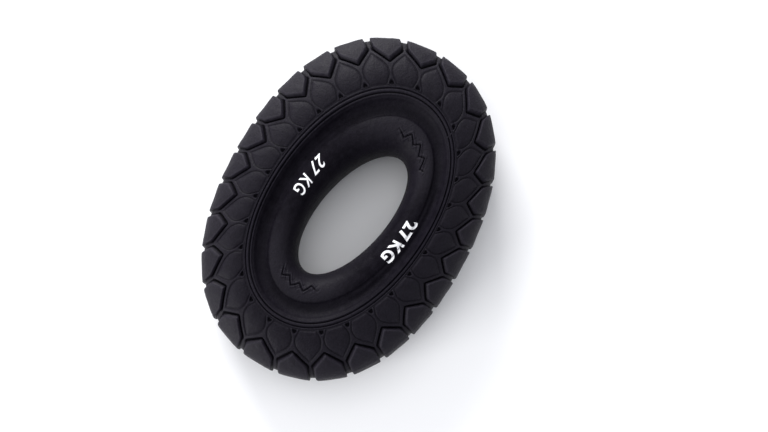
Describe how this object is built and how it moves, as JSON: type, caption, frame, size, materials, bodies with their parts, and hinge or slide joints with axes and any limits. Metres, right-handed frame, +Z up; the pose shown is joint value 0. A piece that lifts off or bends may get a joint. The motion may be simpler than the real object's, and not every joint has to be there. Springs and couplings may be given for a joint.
{
  "type": "hand grip strengthener ring",
  "caption": "Soft rubber ring for hand grip exercise, squeezed to an oval, with a tyre tread rim and an open middle; it springs back round.",
  "frame": {"origin": "middle of the ring's footprint, on its lower bead face", "axes": "+Z up through the hole, +X along the length of the squeezed oval, -Y towards the palm and +Y towards the fingers"},
  "size_m": [0.0916, 0.0652, 0.022],
  "materials": {
    "black_rubber": "matte moulded silicone rubber, near black, very slightly blue",
    "white_ink": "matte white pad-printed ink"
  },
  "bodies": {
    "palm": {"palm_arc": "black_rubber"},
    "palm_corner_a": {"palm_corner_arc_a": "black_rubber"},
    "end_a": {"end_arc_a": "black_rubber"},
    "finger_corner_a": {"finger_corner_arc_a": "black_rubber"},
    "finger_a": {"finger_arc_a": "black_rubber"},
    "palm_corner_b": {"palm_corner_arc_b": "black_rubber"},
    "end_b": {"end_arc_b": "black_rubber"},
    "finger_corner_b": {"finger_corner_arc_b": "black_rubber"},
    "finger_b": {"finger_arc_b": "black_rubber"}
  },
  "joints": [
    {"name": "palm_flex_a", "type": "hinge", "parent": "palm", "child": "palm_corner_a", "pos_m": [0.00802, -0.02095, 0.011], "axis": [0, 0, 1], "range_deg": [-5, 17]},
    {"name": "palm_side_flex_a", "type": "hinge", "parent": "palm_corner_a", "child": "end_a", "pos_m": [0.02729, -0.01344, 0.011], "axis": [0, 0, 1], "range_deg": [-15.3, 4.5]},
    {"name": "finger_side_flex_a", "type": "hinge", "parent": "end_a", "child": "finger_corner_a", "pos_m": [0.02929, 0.00591, 0.011], "axis": [0, 0, 1], "range_deg": [-20.4, 6]},
    {"name": "finger_flex_a", "type": "hinge", "parent": "finger_corner_a", "child": "finger_a", "pos_m": [0.01196, 0.0172, 0.011], "axis": [0, 0, 1], "range_deg": [-5.5, 18.7]},
    {"name": "palm_flex_b", "type": "hinge", "parent": "palm", "child": "palm_corner_b", "pos_m": [-0.01286, -0.01879, 0.011], "axis": [0, 0, 1], "range_deg": [-18.7, 5.5]},
    {"name": "palm_side_flex_b", "type": "hinge", "parent": "palm_corner_b", "child": "end_b", "pos_m": [-0.03019, -0.0075, 0.011], "axis": [0, 0, 1], "range_deg": [-6, 20.4]},
    {"name": "finger_side_flex_b", "type": "hinge", "parent": "end_b", "child": "finger_corner_b", "pos_m": [-0.02819, 0.01185, 0.011], "axis": [0, 0, 1], "range_deg": [-4.5, 15.3]},
    {"name": "finger_flex_b", "type": "hinge", "parent": "finger_corner_b", "child": "finger_b", "pos_m": [-0.00892, 0.01936, 0.011], "axis": [0, 0, 1], "range_deg": [-17, 5]}
  ],
  "couplings": [
    {"joint": "palm_side_flex_a", "follows": "palm_flex_a", "ratio": -0.9},
    {"joint": "finger_side_flex_a", "follows": "palm_flex_a", "ratio": -1.2},
    {"joint": "finger_flex_a", "follows": "palm_flex_a", "ratio": 1.1},
    {"joint": "palm_flex_b", "follows": "palm_flex_a", "ratio": -1.1},
    {"joint": "palm_side_flex_b", "follows": "palm_flex_a", "ratio": 1.2},
    {"joint": "finger_side_flex_b", "follows": "palm_flex_a", "ratio": 0.9},
    {"joint": "finger_flex_b", "follows": "palm_flex_a", "ratio": -1}
  ]
}
